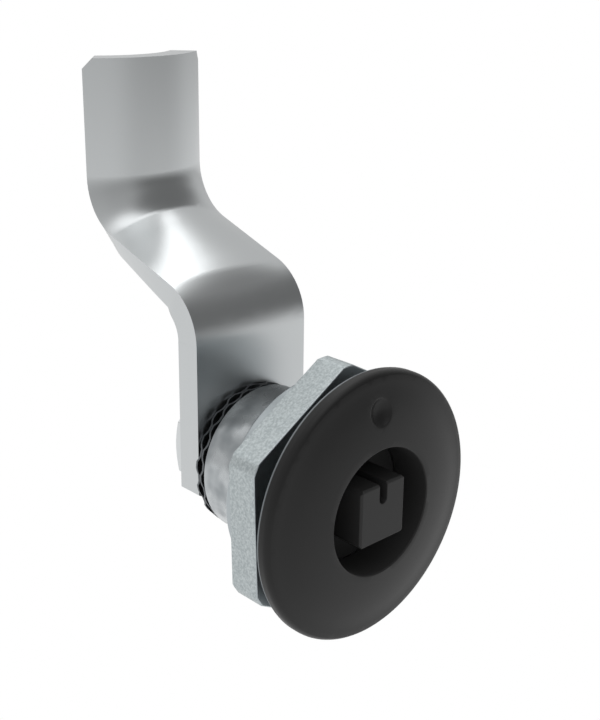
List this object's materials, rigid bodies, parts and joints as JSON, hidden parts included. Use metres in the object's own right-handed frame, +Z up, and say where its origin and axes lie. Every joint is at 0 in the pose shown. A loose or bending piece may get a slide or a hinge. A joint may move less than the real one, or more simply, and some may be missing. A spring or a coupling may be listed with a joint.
{
  "type": "cam_latch",
  "caption": "Quarter-turn cam latch with a square key stud in a round domed flange, a barrel clamped by a hexagon nut and an offset curved cam on a hexagon bolt.",
  "frame": {"origin": "On the latch axis at the back face of the flange, which is the outer face of the panel.", "axes": "Z points up along the cam arm in the closed rest position, Y points back through the panel to the cam, X points to the right seen from the front."},
  "size_m": [0.036, 0.0506, 0.0709],
  "materials": {
    "black_cap": "satin",
    "black_rotor": "satin",
    "bright_zinc": "polished",
    "grainy_zinc": "satin",
    "satin_zinc": "satin",
    "bolt_zinc": "satin",
    "spring_steel": "satin",
    "seal_rubber": "matte"
  },
  "bodies": {
    "housing": {"housing": "bright_zinc", "flange_cap": "black_cap", "flange_gasket": "seal_rubber", "clamp_nut": "grainy_zinc"},
    "turning": {"rotor": "black_rotor", "o_ring_front": "seal_rubber", "o_ring_rear": "seal_rubber", "wave_washer_front": "spring_steel", "wave_washer_rear": "spring_steel", "cam": "satin_zinc", "cam_bolt": "bolt_zinc"}
  },
  "joints": [
    {"name": "turn", "type": "hinge", "parent": "housing", "child": "turning", "pos_m": [0, 0, 0], "axis": [0, 1, 0], "range_deg": [0, 90]}
  ]
}
